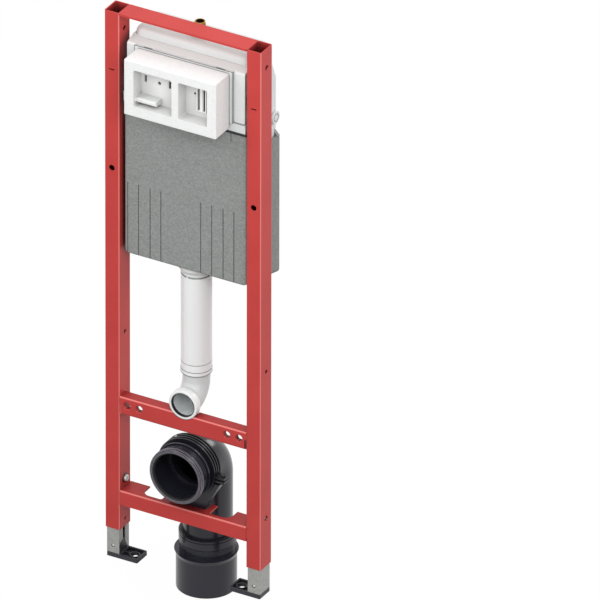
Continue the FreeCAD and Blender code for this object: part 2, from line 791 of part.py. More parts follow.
def tank_shell():
    """The blow-moulded cistern: a narrow lower part, a wider head with a front lip, and an outlet."""
    piece = Piece("tank_shell")
    wall = S.tank_wall
    front = JACKET_INSIDE_FRONT + S.fit_gap
    back = JACKET_INSIDE_BACK - S.fit_gap
    rim_back = S.tank_back - S.tank_chamfer_depth
    head = piece.sketch("YZ_Plane", (0, 0, -TANK_LEFT))
    outline(head, [
        (front, S.tank_step_top), (S.tank_back, S.tank_step_top),
        (S.tank_back, S.tank_chamfer_height), (rim_back, S.tank_chamfer_top),
        (rim_back, S.tank_rim), (S.lid_front, S.tank_rim), (S.lid_front, S.tank_shoulder_back),
        (S.tank_front, S.tank_shoulder), (S.tank_front, S.lip_bottom), (front, S.lip_bottom),
    ])
    piece.pad(head, TANK_LEFT + TANK_RIGHT)
    piece.fillet(S.tank_edge, lambda e: straight(e, 0) and at(e, y=S.tank_front, z=S.tank_shoulder))
    piece.fillet(S.tank_bulge, lambda e: straight(e, 0) and at(e, y=S.tank_back, z=S.tank_chamfer_height))
    piece.fillet(S.tank_corner, lambda e: e.BoundBox.YMin > rim_back.value - NEAR and any(
        at(e, x=x) for x in (-TANK_LEFT, TANK_RIGHT)))
    lower = piece.sketch("YZ_Plane", (0, 0, -TANK_LOWER_HALF))
    outline(lower, [
        (front, S.tank_bottom_front), (back, S.tank_bottom_back),
        (back, S.tank_step_top), (front, S.tank_step_top),
    ])
    piece.pad(lower, TANK_LOWER_HALF * 2)
    lip = piece.sketch("XZ_Plane", (0, 0, -front))
    lip_half = JACKET_HALF - S.lip_side_inset
    rectangle(lip, -lip_half, lip_half, S.lip_bottom, S.lip_top)
    piece.pad(lip, front - S.lip_front)
    lugs = piece.sketch("XY_Plane", (0, 0, S.shelf_height))
    lug_end = POST_INSIDE - S.lug_gap
    for side, half in ((-1, TANK_LEFT), (1, TANK_RIGHT)):
        outline(lugs, [
            (half * side, S.shelf_front), (lug_end * side, S.shelf_front),
            (lug_end * side, S.shelf_back), (half * side, S.shelf_back),
        ])
    piece.pad(lugs, S.lug_height)
    neck = piece.sketch("YZ_Plane", (S.flush_pipe_back, 0, 0))
    cone_top = CONE_BOTTOM + S.neck_cone_height
    outline(neck, [
        (0, S.neck_bottom), (NECK_RADIUS, S.neck_bottom), (NECK_RADIUS, COLLAR_BOTTOM),
        (S.collar_radius, COLLAR_BOTTOM), (S.collar_radius, CONE_BOTTOM),
        (S.neck_cone_radius, cone_top), (S.neck_cone_radius, S.neck_top), (0, S.neck_top),
    ])
    piece.turn(neck)
    inside = piece.sketch("YZ_Plane", (0, 0, wall - TANK_LOWER_HALF))
    outline(inside, [
        (front + wall, S.tank_bottom_front + wall), (back - wall, S.tank_bottom_back + wall),
        (back - wall, S.tank_chamfer_height), (rim_back - wall, S.tank_chamfer_top),
        (rim_back - wall, S.tank_rim + wall), (S.lid_front + wall, S.tank_rim + wall),
        (S.lid_front + wall, S.tank_shoulder - wall), (front + wall, S.tank_shoulder - wall),
    ])
    piece.pocket(inside, (TANK_LOWER_HALF - wall) * 2, forward=True)
    bore = piece.sketch("XY_Plane", (0, 0, S.neck_top))
    circle(bore, 0, S.flush_pipe_back, NECK_RADIUS - S.neck_wall)
    piece.pocket(bore)


def side_plug(side, label):
    """The round cap, with a ring pressed in its face, that closes a connection in the tank's side."""
    piece = Piece(label)
    half = TANK_RIGHT if side > 0 else TANK_LEFT
    face = half * side
    cap = piece.sketch("YZ_Plane", (0, 0, face))
    circle(cap, S.plug_cap_back, S.plug_cap_height, S.plug_cap_radius)
    piece.pad(cap, S.plug_cap_thickness, back=side < 0)
    ring = piece.sketch("YZ_Plane", (0, 0, face + S.plug_cap_thickness * side))
    circle(ring, S.plug_cap_back, S.plug_cap_height, S.plug_ring_radius)
    circle(ring, S.plug_cap_back, S.plug_cap_height, S.plug_ring_radius - S.plug_ring_width)
    piece.pocket(ring, S.plug_ring_depth, forward=side < 0)


def tank_lid():
    """The service lid on the tank's rim, with the opening for the water inlet."""
    piece = Piece("tank_lid")
    plate = piece.sketch("XY_Plane", (0, 0, S.tank_rim))
    inset = S.lid_side_inset
    rectangle(plate, inset - TANK_LEFT, TANK_RIGHT - inset, S.lid_front, S.lid_back)
    piece.pad(plate, S.lid_top - S.tank_rim)
    piece.fillet(S.lid_corner, lambda e: straight(e, 2))
    piece.fillet(S.lid_edge, lambda e: at(e, z=S.lid_top))
    hole = piece.sketch("XY_Plane", (0, 0, S.lid_top))
    circle(hole, 0, S.inlet_back, S.inlet_diameter / 2 + S.fit_gap)
    piece.pocket(hole)


def insulation_jacket():
    """The foam skin round the lower tank, open at the top and round the outlet, scored in front."""
    piece = Piece("insulation_jacket")
    half = JACKET_HALF
    wall = S.jacket_wall
    profile = piece.sketch("YZ_Plane", (0, 0, -half))
    outline(profile, [
        (S.jacket_front, S.jacket_bottom_front), (S.jacket_back, S.jacket_bottom_back),
        (S.jacket_back, S.jacket_back_top), (JACKET_INSIDE_BACK, S.jacket_back_top),
        (JACKET_INSIDE_BACK, S.jacket_side_top), (JACKET_INSIDE_FRONT, S.jacket_side_top),
        (JACKET_INSIDE_FRONT, S.jacket_front_top), (S.jacket_front, S.jacket_front_top),
    ])
    piece.pad(profile, half * 2)
    underside = S.jacket_bottom_front.value + NEAR
    piece.fillet(S.jacket_bottom_corner, lambda e: e.BoundBox.ZMax < underside and any(
        at(e, x=half * side) for side in (-1, 1)))
    piece.fillet(S.jacket_edge, lambda e: at(e, y=S.jacket_front) and e.BoundBox.ZMin < underside)
    piece.chamfer(S.jacket_back_chamfer, lambda e: straight(e, 1) and at(e, z=S.jacket_back_top))
    inside = piece.sketch("YZ_Plane", (0, 0, wall - half))
    outline(inside, [
        (JACKET_INSIDE_FRONT, S.jacket_bottom_front + wall),
        (JACKET_INSIDE_BACK, S.jacket_bottom_back + wall),
        (JACKET_INSIDE_BACK, S.jacket_side_top + wall),
        (JACKET_INSIDE_FRONT, S.jacket_side_top + wall),
    ])
    piece.pocket(inside, (half - wall) * 2, forward=True)
    outlet = piece.sketch("XY_Plane", (0, 0, S.jacket_bottom_front + wall))
    circle(outlet, 0, S.flush_pipe_back, S.neck_cone_radius + S.fit_gap)
    piece.pocket(outlet)
    scores = piece.sketch("XZ_Plane", (0, 0, -S.jacket_front))
    half_score = S.score_width / 2
    below = S.jacket_bottom_front - S.score_width
    left = (S.first_score_offset, S.second_score_offset, S.third_score_offset, S.fourth_score_offset)
    right = (S.fifth_score_offset, S.sixth_score_offset, S.seventh_score_offset, S.eighth_score_offset)
    for side, offsets in ((-1, left), (1, right)):
        for offset in offsets:
            place = offset * side
            rectangle(scores, place - half_score, place + half_score, below, S.score_top)
    rectangle(scores, S.slit_offset - half_score, S.slit_offset + half_score,
              S.slit_bottom, S.jacket_front_top + S.score_width)
    piece.pocket(scores, S.score_depth)


def service_frame():
    """The rim behind the housing, set off from the tank by a fine seam, with two clips on top."""
    piece = Piece("service_frame")
    margin = S.service_frame_margin
    half = S.housing_half_width + margin
    high = S.housing_top + S.clip_height
    plate = piece.sketch("XZ_Plane", (0, 0, -S.tank_front))
    rectangle(plate, -half, half, S.lip_top, high)
    piece.pad(plate, S.tank_front - S.housing_back)
    clips = piece.sketch("XZ_Plane", (0, 0, -S.tank_front))
    half_clip = S.clip_width / 2
    for side in (-1, 1):
        middle = S.clip_offset * side
        rectangle(clips, middle - half_clip, middle + half_clip, high - S.clip_height, high)
    seam = piece.sketch("XZ_Plane", (0, 0, -S.tank_front))
    inner = half - S.seam_depth
    outline(seam, [
        (-half, S.lip_top), (-inner, S.lip_top), (-inner, high - S.clip_height),
        (inner, high - S.clip_height), (inner, S.lip_top), (half, S.lip_top), (half, high), (-half, high),
    ])
    piece.pocket(seam, S.seam_width)


def service_housing():
    """The foam block with its two windows, a ledge, the latch slots and two pin holes."""
    piece = Piece("service_housing")
    half = S.housing_half_width
    front = S.housing_front
    seam = S.housing_back - S.seam_width
    back = front + S.window_depth
    block = piece.sketch("XZ_Plane", (0, 0, -seam))
    rectangle(block, -half, half, S.housing_bottom, S.housing_top)
    piece.pad(block, seam - front)
    piece.fillet(S.housing_edge, lambda e: straight(e, 1) or at(e, y=front))
    rear = piece.sketch("XZ_Plane", (0, 0, -S.housing_back))
    inner = half - S.seam_depth
    rectangle(rear, -inner, inner, S.lip_top + S.fit_gap, S.housing_top - S.seam_depth)
    piece.pad(rear, S.seam_width)
    windows = piece.sketch("XZ_Plane", (0, 0, -front))
    sides = ((S.left_window_left_edge, S.left_window_right_edge),
             (S.right_window_left_edge, S.right_window_right_edge))
    for left, right in sides:
        rectangle(windows, left, right, S.window_bottom, S.window_top)
    piece.pocket(windows, S.window_depth)
    piece.fillet(S.window_corner, lambda e: straight(e, 1) and any(
        at(e, x=x, z=z) for pair in sides for x in pair for z in (S.window_bottom, S.window_top)))
    ledge = piece.sketch("XZ_Plane", (0, 0, -back))
    rectangle(ledge, S.ledge_left_edge, S.ledge_right_edge,
              S.ledge_bottom, S.ledge_bottom + S.ledge_thickness)
    piece.pad(ledge, S.ledge_reach)
    lip = back - S.ledge_reach
    piece.fillet(S.ledge_edge, lambda e: at(e, y=lip) and e.BoundBox.ZMax < S.latch_height.value)
    slots = piece.sketch("XZ_Plane", (0, 0, -back))
    half_slot = S.latch_slot_width / 2
    half_height = S.latch_slot_height / 2
    for place in (-S.left_latch_offset, -S.right_latch_offset):
        rectangle(slots, place - half_slot, place + half_slot,
                  S.latch_height - half_height, S.latch_height + half_height)
    circle(slots, -S.left_pin_offset, S.pin_hole_height, S.left_pin_diameter / 2)
    circle(slots, S.right_pin_offset, S.pin_hole_height, S.right_pin_diameter / 2)
    rectangle(slots, S.guide_left_edge, S.guide_right_edge, S.guide_bottom, S.guide_top)
    piece.pocket(slots, S.latch_slot_depth)


def actuator_guides():
    """The slotted plate in the right window's back wall that guides the actuator's rods."""
    piece = Piece("actuator_guides")
    back = S.housing_front + S.window_depth + S.guide_seat_depth
    plate = piece.sketch("XZ_Plane", (0, 0, -back))
    rectangle(plate, S.guide_left_edge + S.fit_gap, S.guide_right_edge - S.fit_gap,
              S.guide_bottom + S.fit_gap, S.guide_top - S.fit_gap)
    piece.pad(plate, S.guide_seat_depth + S.guide_reach)
    slots = piece.sketch("XZ_Plane", (0, 0, S.guide_reach + S.guide_seat_depth - back))
    for step in (0, 1):
        left = S.guide_left_edge + S.guide_slot_offset + S.guide_slot_pitch * step
        rectangle(slots, left, left + S.guide_slot_width,
                  S.guide_bottom + S.guide_plate_thickness, S.guide_top - S.guide_plate_thickness)
    piece.pocket(slots, S.guide_seat_depth + S.guide_reach - S.guide_plate_thickness)


def water_inlet():
    """The brass stub that stands through the lid."""
    piece = Piece("water_inlet")
    section = piece.sketch("YZ_Plane", (S.inlet_back, 0, 0))
    radius = S.inlet_diameter / 2
    shank = radius - S.inlet_shank_inset
    bore = S.inlet_bore / 2
    flange = S.nut_diameter / 2
    under = S.tank_rim - S.washer_height
    nut_top = S.lid_top + S.nut_height
    edge = S.inlet_chamfer
    outline(section, [
        (bore, under), (flange, under), (flange, S.tank_rim), (shank, S.tank_rim), (shank, nut_top),
        (radius, nut_top), (radius, S.inlet_top - edge), (radius - edge, S.inlet_top), (bore, S.inlet_top),
    ])
    piece.turn(section)


def inlet_nut():
    """The locknut that holds the inlet on the lid."""
    piece = Piece("inlet_nut")
    section = piece.sketch("XY_Plane", (0, 0, S.lid_top))
    half = S.nut_diameter / 2
    flat = half * HEX_FLAT
    side = half / 2
    y = S.inlet_back
    outline(section, [
        (half, y), (side, y + flat), (-side, y + flat), (-half, y), (-side, y - flat), (side, y - flat),
    ])
    circle(section, 0, y, S.inlet_diameter / 2 + S.thread_gap)
    piece.pad(section, S.nut_height)


def tank_shelf(side, label):
    """The steel angle on a post's inner face that one of the tank's lugs rests on."""
    piece = Piece(label)
    wall = S.shelf_wall
    half = TANK_RIGHT if side > 0 else TANK_LEFT
    near = POST_INSIDE * side
    tip = (half + S.fit_gap) * side
    section = piece.sketch("XZ_Plane", (0, 0, -S.shelf_back))
    outline(section, [
        (near, S.shelf_height - S.shelf_drop), (near, S.shelf_height), (tip, S.shelf_height),
        (tip, S.shelf_height - wall), (near - side * wall, S.shelf_height - wall),
        (near - side * wall, S.shelf_height - S.shelf_drop),
    ])
    piece.pad(section, S.shelf_back - S.shelf_front)


def flush_pipe():
    """The long sleeve between the tank's neck and the flush bend, with a small key on its top edge."""
    piece = Piece("flush_pipe")
    back = S.flush_pipe_back
    inner = S.sleeve_radius - S.sleeve_wall
    section = piece.sketch("XY_Plane", (0, 0, SLEEVE_BOTTOM))
    circle(section, 0, back, S.sleeve_radius)
    circle(section, 0, back, inner)
    piece.pad(section, S.sleeve_top - SLEEVE_BOTTOM)
    key = piece.sketch("XY_Plane", (0, 0, S.sleeve_top))
    half_key = S.key_width / 2
    outside = back - S.sleeve_radius + S.key_inset
    middle = -S.key_offset
    rectangle(key, middle - half_key, middle + half_key, outside, outside + S.key_thickness)
    piece.pad(key, S.key_height)


def flush_bend():
    """The quarter bend with its bayonet ridges and the mouth that takes the bowl's pipe."""
    piece = Piece("flush_bend")
    radius = S.bend_radius
    back = S.flush_pipe_back
    centre_back = back - S.bend_curve
    centre_height = FLUSH_HEIGHT + S.bend_curve
    for step in (0, 1):
        top = BAYONET_TOP - (S.bayonet_thickness + S.bayonet_gap) * step
        ridge = piece.sketch("XY_Plane", (0, 0, top - S.bayonet_thickness))
        circle(ridge, 0, back, S.bayonet_radius)
        piece.pad(ridge, S.bayonet_thickness)
        if step == 0:
            rise = piece.sketch("XY_Plane", (0, 0, centre_height))
            circle(rise, 0, back, radius - S.bend_wall)
            piece.pad(rise, BEND_TOP - centre_height)
    sides = piece.sketch("XY_Plane", (0, 0, BAYONET_TOP + S.bayonet_gap))
    half_side = S.bayonet_side_half_width
    for side in (-1, 1):
        rectangle(sides, (radius - S.bend_wall) * side, (S.bayonet_radius + S.bayonet_thickness) * side,
                  back - half_side, back + half_side)
    piece.pocket(sides)
    pipe = piece.sketch("XY_Plane", (0, 0, centre_height))
    circle(pipe, 0, back, radius)
    piece.pad(pipe, BEND_TOP - centre_height)
    quarter = piece.sketch("XY_Plane", (0, centre_back, centre_height))
    circle(quarter, 0, S.bend_curve, radius)
    piece.turn(quarter, "H_Axis", 90, back=True)
    run = piece.sketch("XZ_Plane", (0, 0, -centre_back))
    circle(run, 0, FLUSH_HEIGHT, radius)
    piece.pad(run, centre_back - S.flush_mouth_front)
    mouth = piece.sketch("XZ_Plane", (0, 0, -S.flush_mouth_front - S.flush_mouth_depth))
    circle(mouth, 0, FLUSH_HEIGHT, S.flush_mouth_radius)
    piece.pad(mouth, S.flush_mouth_depth)
    inner = radius - S.bend_wall
    bore = piece.sketch("XY_Plane", (0, 0, centre_height))
    circle(bore, 0, back, inner)
    piece.pocket(bore, BEND_TOP - centre_height, forward=True)
    curve = piece.sketch("XY_Plane", (0, centre_back, centre_height))
    circle(curve, 0, S.bend_curve, inner)
    piece.turn(curve, "H_Axis", 90, back=True, cut=True)
    way = piece.sketch("XZ_Plane", (0, 0, -centre_back))
    circle(way, 0, FLUSH_HEIGHT, inner)
    piece.pocket(way, centre_back, forward=True)
    seat = piece.sketch("XZ_Plane", (0, 0, -S.flush_mouth_front))
    circle(seat, 0, FLUSH_HEIGHT, S.flush_seat_radius)
    piece.pocket(seat, S.flush_seal_depth)


def flush_seal():
    """The rubber ring in the flush bend's mouth."""
    piece = Piece("flush_seal")
    ring = piece.sketch("XZ_Plane", (0, 0, -S.flush_mouth_front - S.flush_seal_depth))
    circle(ring, 0, FLUSH_HEIGHT, S.flush_seat_radius)
    circle(ring, 0, FLUSH_HEIGHT, S.flush_seal_opening)
    piece.pad(ring, S.flush_seal_depth)


def drain_socket():
    """The ribbed socket that the bowl's waste pipe enters."""
    piece = Piece("drain_socket")
    front = S.socket_front
    behind_rim = front + S.socket_rim_depth
    rim = S.socket_rim_radius
    neck = S.socket_neck_radius
    section = piece.sketch("YZ_Plane", (0, S.drain_height, 0))
    points = [
        (front, rim - S.socket_bevel), (front + S.socket_bevel, rim),
        (behind_rim, rim), (behind_rim, neck),
    ]
    for rib in range(SOCKET_RIBS):
        start = behind_rim + S.socket_rib_pitch * (rib + 1) - S.socket_rib_width
        points += [(start, neck), (start, S.socket_rib_radius),
                   (start + S.socket_rib_width, S.socket_rib_radius),
                   (start + S.socket_rib_width, neck)]
    flange_back = S.socket_flange_front + S.socket_flange_depth
    stop = S.drain_front - S.socket_stop
    points += [
        (S.socket_flange_front, neck), (S.socket_flange_front, S.socket_flange_radius),
        (flange_back, S.socket_flange_radius), (flange_back, neck),
        (S.socket_end, neck), (S.socket_end, PIPE_FIT_RADIUS), (S.drain_front, PIPE_FIT_RADIUS),
        (S.drain_front, S.drain_radius - S.drain_wall),
        (stop, S.drain_radius - S.drain_wall), (stop, S.socket_inner_radius),
        (front + S.seal_depth, S.socket_inner_radius),
        (front + S.seal_depth, S.seal_seat_radius), (front, S.seal_seat_radius),
    ]
    outline(section, points)
    piece.turn(section, "H_Axis")


def drain_seal():
    """The lip seal just inside the socket's mouth."""
    piece = Piece("drain_seal")
    section = piece.sketch("YZ_Plane", (0, S.drain_height, 0))
    front = S.socket_front
    back = front + S.seal_depth
    outline(section, [
        (front, S.seal_seat_radius), (back, S.seal_seat_radius), (back, S.seal_opening_radius),
        (back - S.seal_lip, S.seal_opening_radius), (front, S.socket_inner_radius),
    ])
    piece.turn(section, "H_Axis")


def drain_bend():
    """The bend that turns the waste down between the posts."""
    piece = Piece("drain_bend")
    low = S.drain_height - S.drain_curve
    turn_start = S.drain_back - S.drain_curve
    radii = (S.drain_radius, S.drain_radius - S.drain_wall)
    entry = piece.sketch("XZ_Plane", (0, 0, -turn_start))
    quarter = piece.sketch("XY_Plane", (0, turn_start, low))
    drop = piece.sketch("XY_Plane", (0, 0, low))
    for radius in radii:
        circle(entry, 0, S.drain_height, radius)
        circle(quarter, 0, S.drain_curve, radius)
        circle(drop, 0, S.drain_back, radius)
    piece.pad(drop, low - S.drain_bottom, back=True)
    piece.turn(quarter, "H_Axis", 90)
    piece.pad(entry, turn_start - S.drain_front)


def clamp_strap():
    """The ridged ring that grips the socket, with a pair of screw ears at its right."""
    piece = Piece("clamp_strap")
    section = piece.sketch("YZ_Plane", (0, S.drain_height, 0))
    inner = S.socket_neck_radius + S.fit_gap
    front = S.strap_front
    back = front + S.strap_depth
    pitch = (S.strap_depth - S.strap_ridge) / (STRAP_RIDGES - 1)
    crests = []
    for ridge in range(STRAP_RIDGES):
        start = front + pitch * ridge
        end = start + S.strap_ridge
        crests += [(start, S.strap_core_radius), (start, S.strap_radius),
                   (end, S.strap_radius), (end, S.strap_core_radius)]
    outline(section, [(front, inner)] + crests[1:-1] + [(back, inner)])
    piece.turn(section, "H_Axis")
    ears = piece.sketch("XZ_Plane", (0, 0, S.ear_inset - back))
    seam = S.drain_height - S.ear_drop
    root = inner + S.ear_root
    for bottom in (seam - S.ear_gap / 2 - S.ear_thickness, seam + S.ear_gap / 2):
        rectangle(ears, root, S.ear_end_offset, bottom, bottom + S.ear_thickness)
    piece.pad(ears, S.strap_depth - S.ear_inset * 2)


def clamp_saddle():
    """The cradle that carries the clamp on the lower rail, spreading upwards to both sides."""
    piece = Piece("clamp_saddle")
    low = LOWER_RAIL_TOP
    foot = S.saddle_foot_half_width
    top = S.saddle_top_half_width
    knee = low + S.saddle_foot_height
    block = piece.sketch("XZ_Plane", (0, 0, -S.saddle_front - S.saddle_depth))
    outline(block, [
        (-foot, low), (foot, low), (foot, knee), (top, low + S.saddle_height),
        (-top, low + S.saddle_height), (-foot, knee),
    ])
    piece.pad(block, S.saddle_depth)
    cradle = piece.sketch("XZ_Plane", (0, 0, -S.saddle_front))
    circle(cradle, 0, S.drain_height, S.strap_radius + S.fit_gap)
    piece.slice_through(cradle)


def drain_reducer():
    """The eccentric reducer below the bend: a beaded collar, a ribbed neck, a flare and a spigot."""
    piece = Piece("drain_reducer")
    top = S.reducer_top
    collar = S.reducer_collar_radius
    neck = S.reducer_neck_radius
    groove_top = top - S.reducer_bead_height
    groove_bottom = groove_top - S.reducer_groove_width
    flare_top = S.reducer_flare_top
    upper = piece.sketch("YZ_Plane", (S.drain_back, 0, 0))
    points = [(0, top), (0, flare_top), (neck, flare_top)]
    for rib in range(REDUCER_RIBS, 0, -1):
        low = S.reducer_collar_bottom - S.reducer_rib_pitch * rib
        points += [(neck, low), (S.reducer_rib_radius, low),
                   (S.reducer_rib_radius, low + S.reducer_rib_width), (neck, low + S.reducer_rib_width)]
    points += [
        (neck, S.reducer_collar_bottom), (collar, S.reducer_collar_bottom), (collar, groove_bottom),
        (collar - S.reducer_groove_depth, groove_bottom), (collar - S.reducer_groove_depth, groove_top),
        (collar, groove_top), (collar, top),
    ]
    outline(upper, points)
    piece.turn(upper)
    lower = piece.sketch("YZ_Plane", (S.spigot_back, 0, 0))
    outline(lower, [
        (0, flare_top), (0, S.spigot_bottom), (S.spigot_radius, S.spigot_bottom),
        (S.spigot_radius, flare_top - S.reducer_flare_height), (S.reducer_flare_radius, flare_top),
    ])
    piece.turn(lower)
    pipe = piece.sketch("XY_Plane", (0, 0, top))
    circle(pipe, 0, S.drain_back, PIPE_FIT_RADIUS)
    piece.pocket(pipe, top - S.drain_bottom)
    way = piece.sketch("XY_Plane", (0, 0, top))
    circle(way, 0, S.drain_back, S.drain_radius - S.drain_wall)
    piece.pocket(way)
    wide = piece.sketch("XY_Plane", (0, 0, S.spigot_bottom))
    circle(wide, 0, S.spigot_back, S.spigot_radius - S.spigot_wall)
    piece.pocket(wide, S.drain_bottom - S.reducer_step - S.spigot_bottom, forward=True)
    seat = piece.sketch("XY_Plane", (0, 0, top))
    circle(seat, 0, S.drain_back, S.reducer_seal_radius)
    piece.pocket(seat, S.reducer_seal_height)


def reducer_seal():
    """The rubber ring between the bend and the reducer's collar."""
    piece = Piece("reducer_seal")
    ring = piece.sketch("XY_Plane", (0, 0, S.reducer_top - S.reducer_seal_height))
    circle(ring, 0, S.drain_back, S.reducer_seal_radius)
    circle(ring, 0, S.drain_back, PIPE_FIT_RADIUS)
    piece.pad(ring, S.reducer_seal_height)


SIDES = ((-1, "left"), (1, "right"))

for side, word in SIDES:
    post(side, word + "_post")
top_beam()
upper_rail()
lower_rail()
for side, word in SIDES:
    leg(side, word + "_leg")
for side, word in SIDES:
    foot_plate(side, word + "_foot_plate")
tank_shell()
tank_lid()
for side, word in SIDES:
    side_plug(side, word + "_side_plug")
insulation_jacket()
service_frame()
service_housing()
actuator_guides()
water_inlet()
inlet_nut()
for side, word in SIDES:
    tank_shelf(side, word + "_tank_shelf")
flush_pipe()
flush_bend()
flush_seal()
drain_socket()
drain_seal()
drain_bend()
clamp_strap()
clamp_saddle()
drain_reducer()
reducer_seal()


def check():
    """Stops if any object failed or any sub-part has no sound solid."""
    for item in doc.Objects:
        if "Invalid" in item.State or "Error" in item.State:
            raise RuntimeError("%s did not build" % item.Name)
    for item in nodes:
        if item.Shape.isNull() or not item.Shape.isValid():
            raise RuntimeError("%s has no sound solid" % item.Label)


doc.recompute()
check()
os.makedirs("parts", exist_ok=True)
for item in nodes:
    item.Shape.exportStep(os.path.join("parts", item.Label + ".step"))
    box = item.Shape.BoundBox
    print("%-18s solids %d volume %.0f" % (item.Label, len(item.Shape.Solids), item.Shape.Volume), box)
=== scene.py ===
import json
import math

import bmesh
import bpy
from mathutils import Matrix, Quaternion, Vector, noise


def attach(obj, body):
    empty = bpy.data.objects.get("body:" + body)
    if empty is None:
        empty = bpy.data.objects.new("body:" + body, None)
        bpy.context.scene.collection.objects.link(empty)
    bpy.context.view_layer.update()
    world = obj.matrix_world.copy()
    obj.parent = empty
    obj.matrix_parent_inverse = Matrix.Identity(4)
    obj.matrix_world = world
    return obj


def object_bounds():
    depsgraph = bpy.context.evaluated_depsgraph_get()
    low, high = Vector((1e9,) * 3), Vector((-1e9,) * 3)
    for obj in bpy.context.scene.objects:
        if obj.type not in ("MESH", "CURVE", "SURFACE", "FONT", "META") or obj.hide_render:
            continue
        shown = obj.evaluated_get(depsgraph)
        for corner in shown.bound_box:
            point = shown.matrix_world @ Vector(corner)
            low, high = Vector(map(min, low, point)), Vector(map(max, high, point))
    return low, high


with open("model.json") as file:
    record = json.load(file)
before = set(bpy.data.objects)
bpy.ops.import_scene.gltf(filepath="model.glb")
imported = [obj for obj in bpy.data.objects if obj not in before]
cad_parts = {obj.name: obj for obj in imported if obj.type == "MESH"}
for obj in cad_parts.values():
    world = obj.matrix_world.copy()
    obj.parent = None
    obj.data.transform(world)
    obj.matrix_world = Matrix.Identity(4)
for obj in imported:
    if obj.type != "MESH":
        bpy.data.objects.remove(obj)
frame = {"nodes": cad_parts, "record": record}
CAD_BOX = [list(corner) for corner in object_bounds()]
scene = bpy.context.scene
scene.view_settings.view_transform = "Standard"

UP, BACKWARD, FORWARD = Vector((0, 0, 1)), Vector((0, 1, 0)), Vector((0, -1, 0))
SIDES = ((-1, "left"), (1, "right"))

# Main sizes in millimetres, as spot() takes them.
POST_X, POST_HALF_DEPTH = 145, 20
WASTE_Z, FLUSH_Z = 220, 355
FLUSH_PIPE_Y = 49.3
SERVICE_X, SERVICE_TOP, SERVICE_BOTTOM = 99.6, 1060.8, 957.5

# The photograph's view, in the row's frame. It is all but parallel, so the lens is very long.
AZIMUTH, ELEVATION, ROLL = math.radians(29.716), math.radians(29.784), math.radians(0.127)
TARGET = Vector((0.37357, 0.0, 0.62647))
VIEW_WIDTH = 1.06308
LENS, SENSOR = 1700, 36
NEAREST, FARTHEST = 1, 100

# Each lamp's name, place, aim, width in metres and power in watts.
LAMPS = (
    ("key", (1.15, -1.4, 2.0), (0.145, 0, 0.75), 1.0, 14),
    ("edge", (-0.85, -1.14, 2.06), (0.145, 0, 0.5), 0.5, 5),
    ("back", (0.7, 2.6, 1.6), (0.145, 0, 0.4), 1.2, 20),
    ("front", (0.0, -2.1, 1.3), (0.145, 0, 0.75), 1.4, 7),
    ("side", (1.9, -0.3, 1.4), (0.145, 0, 0.75), 1.2, 4),
    ("top", (0.3, 0.0, 2.3), (0.145, 0, 0.75), 1.2, 3),
)
SKY_LIGHT = 0.86
FLOOR_REACH, FLOOR_GAP, FLOOR_GLOW = 30, 0.001, 0.96


def add_camera():
    data = bpy.data.cameras.new("camera")
    data.lens, data.sensor_width = LENS, SENSOR
    data.clip_start, data.clip_end = NEAREST, FARTHEST
    camera = bpy.data.objects.new("camera", data)
    back = Vector((
        math.sin(AZIMUTH) * math.cos(ELEVATION),
        -math.cos(AZIMUTH) * math.cos(ELEVATION),
        math.sin(ELEVATION),
    ))
    camera.location = TARGET + back * VIEW_WIDTH * LENS / SENSOR
    camera.rotation_mode = "QUATERNION"
    camera.rotation_quaternion = (-back).to_track_quat("-Z", "Y") @ Quaternion((0, 0, 1), ROLL)
    scene.collection.objects.link(camera)
    scene.camera = camera


def add_lamp(name, place, aim, width, power):
    data = bpy.data.lights.new(name, "AREA")
    data.shape, data.size, data.energy = "DISK", width, power
    lamp = bpy.data.objects.new(name, data)
    lamp.location = place
    lamp.rotation_mode = "QUATERNION"
    lamp.rotation_quaternion = (Vector(aim) - Vector(place)).to_track_quat("-Z", "Y")
    scene.collection.objects.link(lamp)


def seen_plainly(tree):
    """1 for a ray from the camera, in a reflection or through glass, 0 for one that lights."""
    path = tree.nodes.new("ShaderNodeLightPath")
    seen = path.outputs["Is Camera Ray"]
    for kind in ("Is Glossy Ray", "Is Transmission Ray"):
        most = tree.nodes.new("ShaderNodeMath")
        most.operation = "MAXIMUM"
        tree.links.new(seen, most.inputs[0])
        tree.links.new(path.outputs[kind], most.inputs[1])
        seen = most.outputs[0]
    return seen


